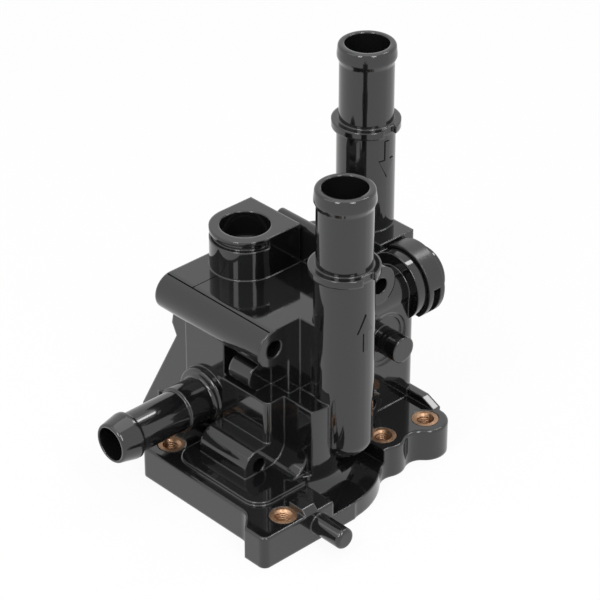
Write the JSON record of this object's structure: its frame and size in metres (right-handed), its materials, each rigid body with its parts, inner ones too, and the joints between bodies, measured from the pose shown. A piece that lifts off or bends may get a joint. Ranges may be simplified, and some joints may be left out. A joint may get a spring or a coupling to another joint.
{
  "type": "coolant thermostat housing",
  "caption": "Black moulded coolant housing with a wax thermostat, two upright hose tubes, a side nipple, a sensor collar and a flange with brass threaded inserts.",
  "frame": {"origin": "centre of the main port in the mounting face", "axes": "+Z away from the engine along the main port, the hose tubes and the sensor bore; -Y towards the side nipple; +X towards the front hose tube"},
  "size_m": [0.1117, 0.1274, 0.134],
  "materials": {
    "plastic": "satin-gloss moulded",
    "brass": "machined",
    "rubber": "moulded",
    "steel": "pressed"
  },
  "bodies": {
    "base": {"housing": "plastic", "base_seal": "rubber", "insert_front": "brass", "insert_left": "brass", "insert_middle": "brass", "insert_right": "brass", "insert_rear_left": "brass", "insert_rear": "brass", "port_ring": "rubber", "sensor_ring": "rubber", "lock_ring": "plastic", "seat_plate": "steel", "seat_seal": "rubber", "lower_bridge": "steel", "upper_bridge": "steel", "piston": "steel", "main_spring": "steel", "vent_pin": "brass"},
    "valve": {"wax_capsule": "brass", "valve_disc": "steel", "valve_facing": "rubber"}
  },
  "joints": [
    {"name": "valve_slide", "type": "slide", "parent": "base", "child": "valve", "axis": [0, 0, 1], "range_m": [0, 0.008], "stiffness_N_per_m": 2000, "springref_m": -0.03, "deforming": ["main_spring"]}
  ]
}
